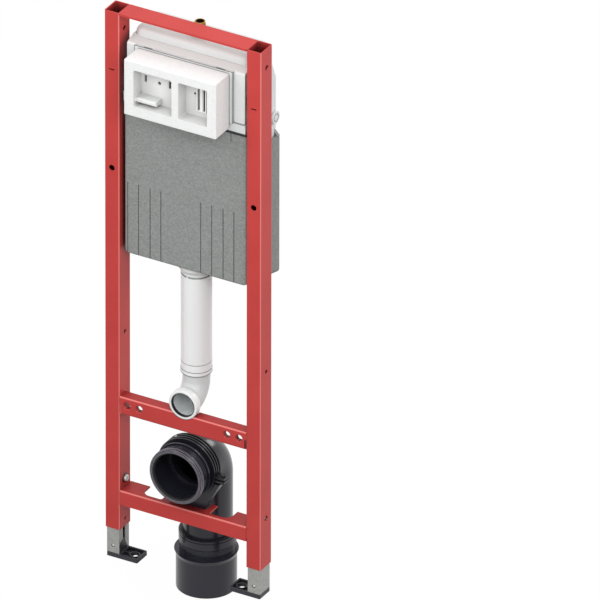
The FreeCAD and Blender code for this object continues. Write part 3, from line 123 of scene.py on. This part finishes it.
class Shader:
    """A material's node tree, built up step by step."""

    SOCKETS = {"metallic": "Metallic", "rough": "Roughness", "specular": "Specular IOR Level"}

    def __init__(self, name):
        self.material = bpy.data.materials.new(name)
        self.material.use_nodes = True
        self.tree = self.material.node_tree
        self.surface = self.tree.nodes["Principled BSDF"]
        self.space = self.node("ShaderNodeTexCoord").outputs["Object"]

    def node(self, kind, **settings):
        made = self.tree.nodes.new(kind)
        for key, value in settings.items():
            setattr(made, key, value)
        return made

    def link(self, source, target):
        self.tree.links.new(source, target)

    def put(self, socket, value):
        """Links an output to the socket, or sets a plain value on it."""
        if hasattr(value, "is_output"):
            self.link(value, socket)
        else:
            socket.default_value = value

    def set(self, **values):
        for key, value in values.items():
            self.surface.inputs[self.SOCKETS[key]].default_value = value

    def colour(self, value):
        self.link(value, self.surface.inputs["Base Color"])

    def rough(self, value):
        self.link(value, self.surface.inputs["Roughness"])

    def noise(self, scale, detail=3, rough=0.5, stretch=None):
        made = self.node("ShaderNodeTexNoise")
        made.inputs["Scale"].default_value = scale
        made.inputs["Detail"].default_value = detail
        made.inputs["Roughness"].default_value = rough
        self.link(self.stretched(stretch) if stretch else self.space, made.inputs["Vector"])
        return made.outputs["Fac"]

    def stretched(self, by):
        made = self.node("ShaderNodeMapping")
        made.inputs["Scale"].default_value = by
        self.link(self.space, made.inputs["Vector"])
        return made.outputs["Vector"]

    def cells(self, scale, feature="F1", output="Color"):
        made = self.node("ShaderNodeTexVoronoi", feature=feature)
        made.inputs["Scale"].default_value = scale
        self.link(self.space, made.inputs["Vector"])
        return made.outputs[output]

    def cell_tone(self, scale):
        """A number from 0 to 1 that differs from cell to cell."""
        made = self.node("ShaderNodeSeparateColor")
        self.link(self.cells(scale), made.inputs["Color"])
        return made.outputs[0]

    def axes(self, vector):
        made = self.node("ShaderNodeSeparateXYZ")
        self.link(vector, made.inputs["Vector"])
        return made.outputs

    def facing(self):
        """The surface's own direction, as X, Y and Z."""
        return self.axes(self.node("ShaderNodeNewGeometry").outputs["Normal"])

    def spread(self, value, low, high, start=0.0, end=1.0):
        """Maps start to end onto low to high."""
        made = self.node("ShaderNodeMapRange")
        self.link(value, made.inputs["Value"])
        limits = {"From Min": start, "From Max": end, "To Min": low, "To Max": high}
        for name, number in limits.items():
            made.inputs[name].default_value = number
        return made.outputs["Result"]

    def blend(self, factor, first, second):
        made = self.node("ShaderNodeMix", data_type="RGBA")
        self.put(made.inputs["Factor"], factor)
        self.put(made.inputs[6], first)
        self.put(made.inputs[7], second)
        return made.outputs[2]

    def combine(self, kind, first, second):
        made = self.node("ShaderNodeMath", operation=kind)
        self.put(made.inputs[0], first)
        self.put(made.inputs[1], second)
        return made.outputs[0]

    def fold(self):
        """0 on flat faces, up to 0.5 on a bend from the front to a face that looks up or right."""
        face = self.facing()
        toward = self.combine("MULTIPLY", face["Y"], -1.0)
        aside = self.combine("MAXIMUM", face["Z"], face["X"])
        return self.combine("MULTIPLY", self.combine("MAXIMUM", toward, 0.0),
                            self.combine("MAXIMUM", aside, 0.0))

    def hollow(self, reach):
        """How open the surface is within reach: 1 on a free face, towards 0 deep in a seam."""
        made = self.node("ShaderNodeAmbientOcclusion", samples=6)
        made.inputs["Distance"].default_value = reach
        return made.outputs["AO"]

    def painted_shade(self, clean, dark, reach, start, end):
        """Paints shade into the colour, towards dark, where the surface lies deep in seams and
        recesses.
        """
        return self.blend(self.spread(self.hollow(reach), 0, 1, start, end), shade(dark), clean)

    def bump(self, height, depth, strength, edge=0.0):
        """Raises the surface by height, and rounds its edges to the radius edge."""
        made = self.node("ShaderNodeBump")
        made.inputs["Distance"].default_value = depth
        made.inputs["Strength"].default_value = strength
        self.link(height, made.inputs["Height"])
        if edge:
            soft = self.node("ShaderNodeBevel", samples=3)
            soft.inputs["Radius"].default_value = edge
            self.link(soft.outputs["Normal"], made.inputs["Normal"])
        self.link(made.outputs["Normal"], self.surface.inputs["Normal"])


def shade(value):
    """A colour written as it is seen, from 0 to 255, as linear light."""
    parts = [v / 255 for v in value]
    return (*[p / 12.92 if p <= 0.04045 else ((p + 0.055) / 1.055) ** 2.4 for p in parts], 1)


def coated_steel(name, top=None, highlight_above=None):
    """Satin powder coat: fine orange peel, uneven where it pools, with painted shade in corners
    and a painted highlight on folds.

    top is a painted shade for faces that look up, standing in for the shadow of parts above.
    Where a height is given for the painted highlight, folds below it get none.
    """
    s = Shader(name)
    pool = s.noise(scale=14, detail=2)
    peel = s.noise(scale=900, detail=2, rough=0.6)
    uneven = s.spread(pool, 0, 1, start=0.3, end=0.7)
    coat = s.blend(uneven, shade((188, 63, 60)), shade((195, 68, 65)))
    # Painted shade: faces that look up take the darker top tone, as if shadowed from above.
    if top:
        coat = s.blend(s.spread(s.facing()["Z"], 0, 1, start=0.85, end=0.97), coat, shade(top))
    # Painted highlight: a pinkish white line along folds from the front to the top or side.
    fold_highlight = s.spread(s.fold(), 0, 0.45, start=0.30, end=0.42)
    if highlight_above:
        above = s.combine("GREATER_THAN", s.axes(s.space)["Z"], highlight_above)
        fold_highlight = s.combine("MULTIPLY", fold_highlight, above)
    bright = s.blend(fold_highlight, coat, shade((255, 168, 160)))
    # Painted shade: darker in corners and close to other parts.
    s.colour(s.painted_shade(bright, dark=(70, 17, 19), reach=0.045, start=0.12, end=0.7))
    s.rough(s.spread(peel, 0.26, 0.38, start=0.3, end=0.7))
    s.set(specular=0.14)
    s.bump(peel, depth=0.00006, strength=0.5, edge=0.0007)
    return s.material


def zinc(name, dark, light):
    """Galvanised steel: faint spangle and rolling marks."""
    s = Shader(name)
    tone = s.cell_tone(scale=190)
    streak = s.noise(scale=60, detail=3, rough=0.6, stretch=(9, 9, 0.7))
    metal = s.blend(tone, shade(dark), shade(light))
    # Painted shade: darker in seams and close to other parts.
    s.colour(s.painted_shade(metal, dark=(45, 45, 46), reach=0.02, start=0.1, end=0.5))
    s.set(metallic=0.7)
    s.rough(s.spread(s.combine("ADD", tone, streak), 0.36, 0.52, start=0.2, end=1.6))
    s.bump(streak, depth=0.00008, strength=0.5, edge=0.0005)
    return s.material


def moulding(name, colour, rough, deep, reach=0.014, start=0.08, end=0.42, tone=0.93, specular=0.5,
             seam=None):
    """Moulded plastic: a fine grain, a slight drift down to tone, and painted shade in seams
    and recesses, as dark as deep.

    reach, start and end say how wide and how hard this painted shade is, and seam is the tone
    of a second, narrow painted shade right beside the seams.
    """
    s = Shader(name)
    fine = s.noise(scale=1400, detail=2, rough=0.6)
    drift = s.noise(scale=9, detail=2)
    dim = tuple(v * tone for v in colour)
    body = s.blend(s.spread(drift, 0, 1, start=0.3, end=0.7), shade(dim), shade(colour))
    # Painted shade: a narrow band of the seam tone right beside seams.
    if seam:
        body = s.painted_shade(body, seam, reach=0.0035, start=0.3, end=0.82)
    # Painted shade: darker deep in seams and recesses.
    s.colour(s.painted_shade(body, deep, reach, start, end))
    s.rough(s.spread(fine, rough - 0.05, rough + 0.07, start=0.3, end=0.7))
    s.set(specular=specular)
    s.bump(fine, depth=0.00004, strength=0.5, edge=0.0006)
    return s.material


def foam(name, base, dark, light, bead, deep, depth, recess=None):
    """Expanded foam: beads pressed together, with speckle from dark to light between them.

    bead is the scale of the beads and depth that of the dimples; recess is a painted shade
    in wide hollows, and deep a painted shade in tight seams.
    """
    s = Shader(name)
    edge = s.cells(bead, "DISTANCE_TO_EDGE", "Distance")
    speck = s.blend(s.cell_tone(bead), shade(dark), shade(light))
    mottle = s.noise(scale=bead * 3, detail=3, rough=0.7)
    body = s.blend(s.spread(mottle, 0.25, 0.75, start=0.35, end=0.65), speck, shade(base))
    # Painted shade: wide hollows darken to the recess tone, tight seams to the deep tone.
    if recess:
        body = s.painted_shade(body, recess, reach=0.035, start=0.3, end=1.0)
    s.colour(s.painted_shade(body, deep, reach=0.01, start=0.06, end=0.36))
    s.set(rough=0.85, specular=0.3)
    s.bump(s.spread(edge, 0, 1, start=0, end=0.12), depth, strength=0.5, edge=0.0008)
    return s.material


def brass(name):
    """Turned brass with fine tool rings."""
    s = Shader(name)
    ring = s.noise(scale=900, detail=2, rough=0.5, stretch=(0.05, 0.05, 1))
    metal = s.blend(ring, shade((140, 98, 46)), shade((176, 134, 74)))
    # Painted shade: darker in seams and close to other parts.
    s.colour(s.painted_shade(metal, dark=(40, 26, 10), reach=0.012, start=0.1, end=0.6))
    s.set(metallic=1.0)
    s.rough(s.spread(ring, 0.2, 0.34))
    s.bump(ring, depth=0.00003, strength=0.4)
    return s.material


# Painted shade for white plastics: SEAM deep in their seams, SHADE in a narrow band beside them.
SEAM, SHADE = (58, 58, 62), (128, 129, 131)
# Painted shade for the rails' tops.
RAIL_TOP_SHADE = (164, 50, 48)
# The deep tones given to moulding() and foam() below are painted shade in seams and recesses.
MATERIALS = {
    "red_coating": coated_steel("red_powder_coat"),
    "galvanised": zinc("galvanised_steel", dark=(150, 150, 147), light=(164, 164, 161)),
    "black_moulding": moulding("black_moulding", (44, 44, 51), 0.42, (8, 8, 10), reach=0.02,
                               specular=0.35),
    "white_plastic": moulding("white_moulding", (220, 223, 222), 0.34, SEAM,
                              tone=0.985, seam=SHADE),
    "grey_foam": foam("grey_foam", base=(142, 145, 143), dark=(122, 125, 123),
                      light=(160, 163, 161), bead=380, deep=(50, 51, 50), depth=0.0004),
    "white_foam": foam("white_foam", base=(233, 234, 233), dark=(227, 228, 227),
                       light=(237, 238, 237), bead=260, deep=(40, 40, 42), depth=0.0002,
                       recess=(200, 200, 199)),
    "brass": brass("turned_brass"),
    "white_pipe": moulding("white_pipe", (236, 237, 237), 0.28, SEAM, tone=0.985, seam=SHADE),
    "seal_rubber": moulding("seal_rubber", (24, 24, 26), 0.6, (8, 8, 8)),
    "black_pipe": moulding("black_pipe", (36, 36, 46), 0.2, (10, 10, 14), reach=0.03,
                           specular=0.36),
}

# Finishes that belong to single nodes and to the pieces made here; several are lighter or darker
# copies of a slot's finish, that is painted highlight or painted shade.
# The rails' tops get painted shade; the upper rail's painted fold highlight stays on folds above
# 0.33 m.
UPPER = coated_steel("upper_rail_coat", top=RAIL_TOP_SHADE, highlight_above=0.330)
LOWER = coated_steel("lower_rail_coat", top=RAIL_TOP_SHADE)
# Painted shade: the flush bend is a darker copy of the white pipe, with strong painted shade in its
# recesses.
SHADED_BEND = moulding("shaded_bend_moulding", (211, 215, 215), 0.3, (96, 97, 99),
                reach=0.03, start=0.15, end=0.7, tone=0.985, seam=SHADE)
# Painted shade: dark lines close to the guides' slots and ribs.
GUIDE = moulding("guide_moulding", (252, 252, 251), 0.3, (24, 24, 26),
                 reach=0.007, start=0.3, end=0.7)
# Painted highlight: the socket's ridges are a lighter copy of the black pipe, with painted shade
# close beside them.
RING_HIGHLIGHT = moulding("socket_ring_highlight", (128, 122, 134), 0.25, (12, 12, 16),
                reach=0.004, start=0.1, end=0.5)
# Painted shade: a darker copy of the black moulding, for the clamp, its saddle, screw and bushes.
SHADED_STRAP = moulding("shaded_strap_moulding", (27, 26, 33), 0.3, (5, 5, 7), reach=0.02, specular=0.4)
BUTTON = zinc("pressed_zinc", dark=(188, 188, 185), light=(214, 214, 212))
# Painted shade: grey and pale lines that stand in for the shadow lines at seams.
GREY_SHADE_LINE = moulding("grey_shade_line", (92, 93, 96), 0.6, (30, 30, 32))
PALE_SHADE_LINE = moulding("pale_shade_line", (160, 161, 163), 0.5, (90, 90, 92))
# Painted shade: the lid is a darker copy of the white moulding, as if shadowed by the beam above
# it.
SHADED_LID = moulding("shaded_lid_moulding", (213, 216, 215), 0.34, (150, 152, 152), tone=0.985)
OWN_FINISH = {
    "clamp_strap": SHADED_STRAP, "clamp_saddle": SHADED_STRAP, "tank_lid": SHADED_LID, "flush_bend": SHADED_BEND,
    "actuator_guides": GUIDE, "upper_rail": UPPER, "lower_rail": LOWER,
}


def dress_nodes():
    """Gives each CAD node its own finish, or that of its material slot."""
    for entry in frame["record"]["subparts"]:
        name = entry["node"]
        node = frame["nodes"][name]
        node.data.materials.clear()
        node.data.materials.append(OWN_FINISH.get(name, MATERIALS[entry["material_slot"]]))


def spot(x, y, z):
    """A place in the row's frame, in mm from the middle, the posts' front and the floor."""
    return Vector((x + POST_X, y - POST_HALF_DEPTH, z)) / 1000


def add_piece(name, body, material, make, parts=((),), smooth=True):
    """A piece whose mesh is filled by make(shape, *part) for each of its parts."""
    mesh = bpy.data.meshes.new(name)
    shape = bmesh.new()
    for part in parts:
        make(shape, *part)
    bmesh.ops.recalc_face_normals(shape, faces=shape.faces)
    for face in shape.faces:
        face.smooth = smooth
    shape.to_mesh(mesh)
    shape.free()
    if smooth:
        mesh.set_sharp_from_angle(angle=math.radians(40))
    mesh.materials.append(material)
    piece = bpy.data.objects.new(name, mesh)
    scene.collection.objects.link(piece)
    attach(piece, body)


def ring(shape, place, axis, radius, height, segments):
    """A ring of points at a height along an axis through place, or one point shared at radius 0."""
    turn = axis.to_track_quat("Z", "Y").to_matrix()
    if radius == 0:
        return [shape.verts.new(place + turn @ Vector((0, 0, height)))] * segments
    points = []
    for i in range(segments):
        angle = 2 * math.pi * i / segments
        flat = Vector((radius * math.cos(angle), radius * math.sin(angle), height))
        points.append(shape.verts.new(place + turn @ flat))
    return points


def join_rings(shape, rings):
    """Faces from each ring to the next, triangles where one of them is a single point."""
    for low, high in zip(rings, rings[1:]):
        for i in range(len(low)):
            j = (i + 1) % len(low)
            corners = [low[i], low[j], high[j], high[i]]
            shape.faces.new([v for k, v in enumerate(corners) if v not in corners[:k]])


def turned(shape, profile, place, axis, segments=32):
    """Turns a profile of (radius, height) points about an axis through place."""
    rings = [ring(shape, place, axis, radius, height, segments) for radius, height in profile]
    join_rings(shape, rings)


def hoop(shape, profile, place, axis, radius, segments=72):
    """A closed hoop of a radius; the profile is (outward, along) points round its section."""
    rings = [ring(shape, place, axis, radius + out, along, segments) for out, along in profile]
    join_rings(shape, rings + rings[:1])


def round_section(size):
    """The profile of a round wire of a radius."""
    sides = 8
    return [(size * math.cos(2 * math.pi * k / sides), size * math.sin(2 * math.pi * k / sides))
            for k in range(sides)]


def box(shape, low, high):
    """A box between its lowest and highest corners."""
    for v in bmesh.ops.create_cube(shape, size=1)["verts"]:
        v.co = Vector([a + (b - a) * (c + 0.5) for a, b, c in zip(low, high, v.co)])


def bead(shape, size, *corners):
    """A square bead along straight runs between corners; size is half its width."""
    for start, end in zip(corners, corners[1:]):
        box(shape, [min(a, b) - size for a, b in zip(start, end)],
            [max(a, b) + size for a, b in zip(start, end)])


def add_buttons():
    """The bright pressed button that shows in the hole in the front of each leg."""
    dome = [(0, 0), (0.0031, 0), (0.0030, 0.0012), (0.0025, 0.0018), (0.0014, 0.0022), (0, 0.0023)]
    for side, word in SIDES:
        add_piece(word + "_leg_button", word + "_foot", BUTTON,
                  turned, [(dome, spot(POST_X * side, 4.9, 23.2), FORWARD)])


def add_inlet_thread():
    """The pipe thread on the water inlet, one ridge wound up the stub."""
    turns, per_turn, fading = 7, 40, 20
    pitch, radius, height = 0.0018, 0.0100, 0.0004
    foot = spot(0, 62, 0) + UP * 1.0935

    def wind(shape):
        steps = turns * per_turn
        rows = []
        for step in range(steps + 1):
            angle = 2 * math.pi * step / per_turn
            crest = height * min(1, step / fading, (steps - step) / fading)
            section = ((0, -0.45), (crest, -0.06), (crest, 0.06), (0, 0.45))
            rows.append([shape.verts.new(foot + Vector((
                (radius + out) * math.cos(angle),
                (radius + out) * math.sin(angle),
                pitch * (step / per_turn + up),
            ))) for out, up in section])
        join_rings(shape, rows)
        shape.faces.new(rows[0])
        shape.faces.new(rows[-1])

    add_piece("inlet_thread", "frame", MATERIALS["brass"], wind)


def add_clamp_screw():
    """The screw and nut that draw the clamp's ears together."""
    head = [(0, 0.0026), (0.0020, 0.0028), (0.0024, 0.0034), (0.0036, 0.0034), (0.0042, 0.0028),
            (0.0044, 0), (0, 0)]
    nut = [(0, 0), (0.0046, 0), (0.0046, 0.0036), (0.0040, 0.0040), (0, 0.0040)]
    shank = [(0, 0), (0.0022, 0), (0.0022, 0.012), (0, 0.012)]
    above, below = spot(70, 24.5, 217), spot(70, 24.5, 205)
    add_piece("clamp_screw", "frame", SHADED_STRAP,
              turned, [(head, above, UP), (nut, below, -UP, 6), (shank, below, UP, 16)])


def add_strap_rivet():
    """The bright rivet on top of the strap, left of the socket's crown."""
    rivet = [(0, -0.001), (0.0024, -0.001), (0.0024, 0.0004), (0.0019, 0.0011), (0.0010, 0.0014),
             (0, 0.0015)]
    outward, strap_radius = Vector((-0.486, 0, 0.874)), 0.0585
    add_piece("strap_rivet", "frame", BUTTON,
              turned, [(rivet, spot(0, 25, WASTE_Z) + outward * strap_radius, outward, 24)])


def add_welds():
    """The short rippled beads that join the rails to the posts, in front where the channel ends."""
    radius, spacing = 0.0014, 0.0006

    def weld(shape, start, end):
        length = (end - start).length
        steps = int(length / spacing)
        profile = []
        for i in range(steps + 1):
            uneven = noise.noise(start * 900 + Vector((i, 0, 0)))
            ripple = 0.00016 * math.sin(i * 1.9) + 0.00012 * uneven
            fade = math.sqrt(max(0.0, 1 - (2 * i / steps - 1) ** 8))
            profile.append((max(0.0002, (radius + ripple) * fade), length * i / steps))
        turned(shape, [(0, 0), *profile, (0, length)], start, UP, 12)

    runs = []
    for side in (-1, 1):
        runs.append((spot(129.4 * side, 1.6, 321.5), spot(129.4 * side, 1.6, 333)))
        runs.append((spot(129.5 * side, 2.2, 116), spot(129.5 * side, 2.2, 138.5)))
    add_piece("rail_welds", "frame", MATERIALS["red_coating"], weld, runs)


def add_left_weld():
    """The weld that closes the end of the upper rail against the left post."""
    radius, length, steps = 0.00178, 0.0200, 48
    profile = [(radius + 0.00005 * math.sin(i * 1.9), length * i / steps) for i in range(steps + 1)]
    add_piece("left_rail_weld", "frame", MATERIALS["red_coating"],
              turned, [([(0, 0), *profile, (0, length)], spot(-128.3, 1.75, 300.3), UP, 16)])


def add_socket_rings():
    """The fine ridges round the drain socket's lip and neck, in a lighter finish as a painted
    highlight.

    Each is a radius, a place along the axis from the posts' front, and half a width.
    """
    ridges = (
        (0.0531, -0.0245, 0.0006), (0.0509, -0.0257, 0.0006), (0.0487, -0.0259, 0.0006),
        (0.0539, -0.0205, 0.0005), (0.0539, -0.0176, 0.0005),
        (0.0506, -0.0130, 0.0006), (0.0506, -0.0085, 0.0006), (0.0506, -0.0040, 0.0006),
    )
    centre = spot(0, 0, WASTE_Z)
    add_piece("socket_rings", "frame", RING_HIGHLIGHT, hoop,
              [(round_section(size), centre + BACKWARD * along, BACKWARD, radius)
               for radius, along, size in ridges])


def add_flush_rings():
    """The collar where the flush pipe enters its bend, thin grey rings of painted shade round it,
    and the mouth's rim.

    Each profile is (outward, along) points, and each shadow ring is a height, a radius and half a
    width.
    """
    pipe, mouth = spot(0, FLUSH_PIPE_Y, 0), spot(0, 0.5, FLUSH_Z)
    shadow_rings = ((0.4268, 0.0275, 0.0007), (0.4043, 0.0281, 0.00055), (0.4120, 0.0281, 0.00055))
    collar = [(0, 0.4038), (0.0024, 0.4038), (0.0028, 0.4042), (0.0028, 0.4258), (0.0024, 0.4262),
              (0, 0.4262)]
    rim = [(0, 0), (0.0006, 0.0004), (0.0008, 0.0012), (0.0008, 0.0130), (0.0004, 0.0138),
           (-0.0004, 0.0140), (-0.0004, 0.0134), (-0.0002, 0.0010), (-0.0037, 0.0004),
           (-0.0041, 0), (-0.0037, -0.0004), (-0.0010, -0.0005)]
    # Painted shade: grey rings that stand in for the shadow lines round the sleeve.
    add_piece("flush_sleeve_shadow_rings", "frame", GREY_SHADE_LINE, hoop,
              [(round_section(size), pipe + UP * height, UP, radius)
               for height, radius, size in shadow_rings])
    add_piece("flush_bend_collar", "frame", MATERIALS["white_pipe"],
              hoop, [(collar, pipe, UP, 0.0253, 96)])
    add_piece("flush_mouth_collar", "frame", MATERIALS["white_pipe"],
              hoop, [(rim, mouth, BACKWARD, 0.0280, 96)])


def add_screw_ends():
    """The bright end of each clamp screw, in the round window of each post's inner side."""
    bush = [(0, 0), (0.0093, 0), (0.0093, 0.0016), (0.0088, 0.0020), (0.0066, 0.0020), (0, 0.0016)]
    stud = [(0, 0.0018), (0.0059, 0.0018), (0.0059, 0.0058), (0.0053, 0.0066), (0.0036, 0.0068),
            (0.0032, 0.0062), (0, 0.0060)]
    for side, word in SIDES:
        seat = (spot(131.6 * side, 20, 159), Vector((-side, 0, 0)), 40)
        add_piece(word + "_clamp_bush", "frame", SHADED_STRAP, turned, [(bush, *seat)])
        add_piece(word + "_clamp_screw_end", "frame", BUTTON, turned, [(stud, *seat)])


def add_guide_ribs():
    """The raised edges beside the slots of the actuator guides."""
    def ribs(shape):
        for left, width in ((40.2, 2.8), (49.4, 4.6)):
            box(shape, spot(left, -21.9, 978.6), spot(left + width, -19.5, 1026.2))
        bmesh.ops.bevel(shape, geom=shape.edges[:], offset=0.0005, segments=2, affect="EDGES")

    add_piece("guide_ribs", "frame", GUIDE, ribs)


def add_shadow_lines():
    """Painted shade: thin grey lines round the service frame, pale ones behind it, and dark strips
    over the jacket stand in for the shadow in these seams.
    """
    lip, seat, strip = 0.0004, 0.0006, 0.0010
    outline = [(-SERVICE_X, SERVICE_BOTTOM), (-SERVICE_X, SERVICE_TOP), (SERVICE_X, SERVICE_TOP),
               (SERVICE_X, SERVICE_BOTTOM)]
    front = [(lip, *[spot(x, 2.9, z) for x, z in outline])]
    for x in (-82, 66):
        front.append((lip, spot(x, 5.5, SERVICE_TOP), spot(x + 17, 5.5, SERVICE_TOP)))
    add_piece("service_frame_shadow_lines", "frame", GREY_SHADE_LINE, bead, front, smooth=False)

    behind = []
    for side in (-1, 1):
        edge = SERVICE_X * side
        behind.append((lip, spot(edge, 7.6, SERVICE_TOP), spot(edge, 7.6, SERVICE_BOTTOM)))
        behind.append((seat, spot(101 * side, 6.4, 957.6), spot(125.4 * side, 6.4, 957.6)))
    add_piece("service_frame_pale_shadow_lines", "frame", PALE_SHADE_LINE, bead, behind, smooth=False)

    # Painted shadow: dark strips in the gap over the jacket's top, in the seal rubber finish.
    over_jacket = [(strip, spot(-125.2, 6.4, z), spot(125.2, 6.4, z)) for z in (936.4, 938.6)]
    over_jacket.append((0.0011, spot(-125.0, 8.0, 935.4), spot(125.0, 8.0, 935.4)))
    add_piece("jacket_shadow_strips", "frame", MATERIALS["seal_rubber"],
              bead, over_jacket, smooth=False)


def add_stage():
    """A pale floor just under the lowest piece, white to the camera but for the object's shadow."""
    low = CAD_BOX[0][2] - FLOOR_GAP
    near, far = -FLOOR_REACH, FLOOR_REACH
    mesh = bpy.data.meshes.new("floor")
    mesh.from_pydata([(near, near, low), (far, near, low), (far, far, low), (near, far, low)], [],
                     [(0, 1, 2, 3)])
    floor = bpy.data.objects.new("floor", mesh)
    scene.collection.objects.link(floor)
    s = Shader("floor")
    seen = seen_plainly(s.tree)
    s.colour(s.blend(seen, (0.25, 0.25, 0.25, 1), (0.9, 0.9, 0.9, 1)))
    s.set(rough=0.9)
    glow = s.node("ShaderNodeEmission")
    glow.inputs["Strength"].default_value = 1
    mix = s.node("ShaderNodeMixShader")
    s.link(s.combine("MULTIPLY", seen, FLOOR_GLOW), mix.inputs["Fac"])
    s.link(s.surface.outputs["BSDF"], mix.inputs[1])
    s.link(glow.outputs["Emission"], mix.inputs[2])
    s.link(mix.outputs["Shader"], s.tree.nodes["Material Output"].inputs["Surface"])
    mesh.materials.append(s.material)


def add_world():
    """A white surround to the eye, which lights the object a little less."""
    world = bpy.data.worlds.new("studio")
    world.use_nodes = True
    tree = world.node_tree
    sky = tree.nodes["Background"]
    sky.inputs["Color"].default_value = (1, 1, 1, 1)
    level = tree.nodes.new("ShaderNodeMapRange")
    level.inputs["To Min"].default_value = SKY_LIGHT
    level.inputs["To Max"].default_value = 1.0
    tree.links.new(seen_plainly(tree), level.inputs["Value"])
    tree.links.new(level.outputs["Result"], sky.inputs["Strength"])
    scene.world = world


add_camera()
add_world()
add_stage()
for lamp in LAMPS:
    add_lamp(*lamp)
dress_nodes()
add_buttons()
add_inlet_thread()
add_clamp_screw()
add_strap_rivet()
add_welds()
add_left_weld()
add_socket_rings()
add_flush_rings()
add_screw_ends()
add_guide_ribs()
add_shadow_lines()
